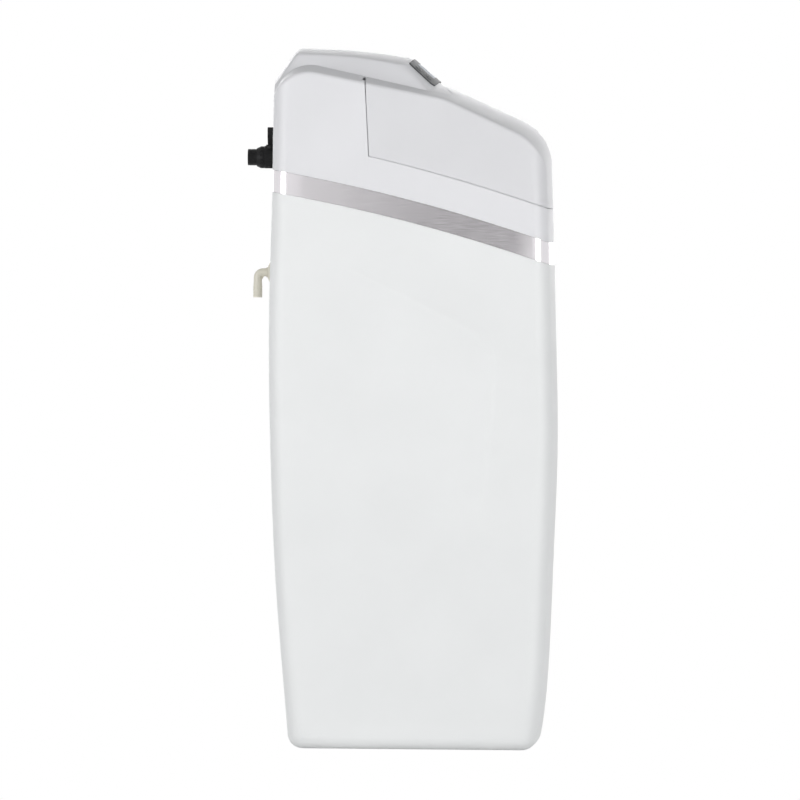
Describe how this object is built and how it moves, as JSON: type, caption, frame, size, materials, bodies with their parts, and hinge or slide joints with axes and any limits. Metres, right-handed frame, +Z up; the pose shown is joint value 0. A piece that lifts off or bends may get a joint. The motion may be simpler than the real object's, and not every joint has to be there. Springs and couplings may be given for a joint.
{
  "type": "cabinet water softener",
  "caption": "Cabinet water softener with a grey trim band, a hinged salt lid, a display on its raised hump and a rear bypass with threaded pipe ends",
  "frame": {"origin": "centre of the cabinet's base on the floor, midway between its sides", "axes": "+Z up, the front faces -Y, +X is to the right seen from the front"},
  "size_m": [0.328, 0.5065, 1.1358],
  "materials": {
    "cabinet_plastic": "fine-grained moulded polyethylene, cool white",
    "band_plastic": "silver-grey moulded strip with a soft sheen",
    "cover_plastic": "fine-grained moulded plastic, cool white",
    "lid_plastic": "fine-grained moulded plastic, cool white",
    "hinge_steel": "turned stainless pin",
    "bezel_plastic": "grey satin plate with a pale raised edge",
    "window_plastic": "dark tinted display window",
    "key_plastic": "smooth pale grey push keys",
    "board_laminate": "green circuit laminate",
    "vessel_wrap": "dark grey wound glass-fibre vessel",
    "boot_plastic": "black moulded boot",
    "riser_plastic": "white extruded tube",
    "strainer_plastic": "dark grey slotted basket",
    "resin_beads": "amber ion-exchange beads",
    "gravel": "washed grey gravel",
    "seal_rubber": "black moulded seal",
    "valve_plastic": "black glass-filled plastic",
    "piston_plastic": "smooth ivory piston with its rod",
    "guide_plastic": "pale grey moulded plastic",
    "bracket_plastic": "black moulded plate",
    "gear_plastic": "natural acetal gear",
    "pinion_brass": "cut brass pinion on its shaft",
    "motor_steel": "zinc-plated motor can",
    "turbine_plastic": "pale moulded turbine",
    "ivory_plastic": "cream-ivory moulded plastic",
    "bypass_plastic": "black glass-filled plastic",
    "rotor_plastic": "black moulded handle",
    "stub_plastic": "black threaded pipe end",
    "nut_plastic": "black ribbed nut",
    "well_plastic": "white extruded well tube",
    "cap_plastic": "white push-on cap",
    "float_plastic": "white foamed float on its rod",
    "pipe_plastic": "pale rigid pipe, formed in bends",
    "grid_plastic": "pale slotted floor plate"
  },
  "bodies": {
    "softener": {"brine_tank": "cabinet_plastic", "trim_band": "band_plastic", "cover": "cover_plastic", "hinge_pins": "hinge_steel", "display_bezel": "bezel_plastic", "display_window": "window_plastic", "display_board": "board_laminate", "pressure_vessel": "vessel_wrap", "vessel_boot": "boot_plastic", "riser_tube": "riser_plastic", "bottom_strainer": "strainer_plastic", "top_strainer": "strainer_plastic", "resin_bed": "resin_beads", "gravel_bed": "gravel", "vessel_seal": "seal_rubber", "valve_body": "valve_plastic", "seal_stack": "seal_rubber", "piston_guide": "guide_plastic", "drive_bracket": "bracket_plastic", "drive_motor": "motor_steel", "drive_cover": "bracket_plastic", "injector_cap": "guide_plastic", "drain_spigot": "ivory_plastic", "bypass_body": "bypass_plastic", "inlet_stub": "stub_plastic", "outlet_stub": "stub_plastic", "coupling_seals": "seal_rubber", "coupling_nuts": "bypass_plastic", "stub_nuts": "nut_plastic", "brine_well": "well_plastic", "air_check": "strainer_plastic", "float_valve": "guide_plastic", "brine_pipe": "pipe_plastic", "salt_grid": "grid_plastic", "overflow_gasket": "seal_rubber", "overflow_flange": "ivory_plastic", "overflow_nut": "ivory_plastic"},
    "lid": {"salt_lid": "lid_plastic"},
    "menu_key": {"key_menu": "key_plastic"},
    "set_key": {"key_set": "key_plastic"},
    "up_key": {"key_up": "key_plastic"},
    "down_key": {"key_down": "key_plastic"},
    "inlet_valve": {"inlet_rotor": "rotor_plastic"},
    "outlet_valve": {"outlet_rotor": "rotor_plastic"},
    "dial": {"blend_dial": "ivory_plastic"},
    "drive_wheel": {"drive_gear": "gear_plastic"},
    "middle_wheel": {"reduction_gear": "gear_plastic"},
    "pinion": {"motor_pinion": "pinion_brass"},
    "valve_piston": {"piston": "piston_plastic"},
    "turbine": {"meter_turbine": "turbine_plastic"},
    "float": {"safety_float": "float_plastic"},
    "cap": {"well_cap": "cap_plastic"},
    "elbow": {"overflow_elbow": "ivory_plastic"}
  },
  "joints": [
    {"name": "lid_hinge", "type": "hinge", "parent": "softener", "child": "lid", "pos_m": [0, 0.0755, 1.0837], "axis": [-1, 0, 0], "range_deg": [0, 75]},
    {"name": "menu_press", "type": "slide", "parent": "softener", "child": "menu_key", "axis": [0, 0.6521, -0.7581], "range_m": [0, 0.0008], "stiffness_N_per_m": 900},
    {"name": "set_press", "type": "slide", "parent": "softener", "child": "set_key", "axis": [0, 0.6521, -0.7581], "range_m": [0, 0.0008], "stiffness_N_per_m": 900},
    {"name": "up_press", "type": "slide", "parent": "softener", "child": "up_key", "axis": [0, 0.6521, -0.7581], "range_m": [0, 0.0008], "stiffness_N_per_m": 900},
    {"name": "down_press", "type": "slide", "parent": "softener", "child": "down_key", "axis": [0, 0.6521, -0.7581], "range_m": [0, 0.0008], "stiffness_N_per_m": 900},
    {"name": "inlet_turn", "type": "hinge", "parent": "softener", "child": "inlet_valve", "pos_m": [-0.035, 0.236, 0.99], "axis": [0, 0, 1], "range_deg": [0, 90]},
    {"name": "outlet_turn", "type": "hinge", "parent": "softener", "child": "outlet_valve", "pos_m": [0.035, 0.236, 0.99], "axis": [0, 0, 1], "range_deg": [0, 90]},
    {"name": "blend_turn", "type": "hinge", "parent": "softener", "child": "dial", "pos_m": [0, 0.219, 0.99], "axis": [0, 0, 1], "range_deg": [0, 180]},
    {"name": "drive_turn", "type": "hinge", "parent": "softener", "child": "drive_wheel", "pos_m": [0, -0.04, 0.958], "axis": [0, 1, 0], "range_deg": [0, 720]},
    {"name": "middle_turn", "type": "hinge", "parent": "softener", "child": "middle_wheel", "pos_m": [0.02314, -0.04, 0.98558], "axis": [0, 1, 0], "range_deg": [-3600, 0]},
    {"name": "pinion_turn", "type": "hinge", "parent": "softener", "child": "pinion", "pos_m": [0.00814, -0.04, 1.01156], "axis": [0, 1, 0], "range_deg": [0, 14400]},
    {"name": "piston_stroke", "type": "slide", "parent": "softener", "child": "valve_piston", "axis": [0, 1, 0], "range_m": [0, 0.019]},
    {"name": "turbine_spin", "type": "hinge", "parent": "softener", "child": "turbine", "pos_m": [0.035, 0.08, 0.958], "axis": [0, 1, 0], "continuous": true},
    {"name": "float_rise", "type": "slide", "parent": "softener", "child": "float", "axis": [0, 0, 1], "range_m": [0, 0.04]},
    {"name": "cap_lift", "type": "slide", "parent": "softener", "child": "cap", "axis": [0, 0, 1], "range_m": [0, 0.1]},
    {"name": "elbow_turn", "type": "hinge", "parent": "softener", "child": "elbow", "pos_m": [-0.06, 0.24, 0.771], "axis": [0, 1, 0], "range_deg": [-90, 90]}
  ],
  "couplings": [
    {"joint": "middle_turn", "follows": "drive_turn", "ratio": -5},
    {"joint": "pinion_turn", "follows": "drive_turn", "ratio": 20},
    {"joint": "piston_stroke", "follows": "drive_turn", "m_per_rad": 0.001512}
  ]
}
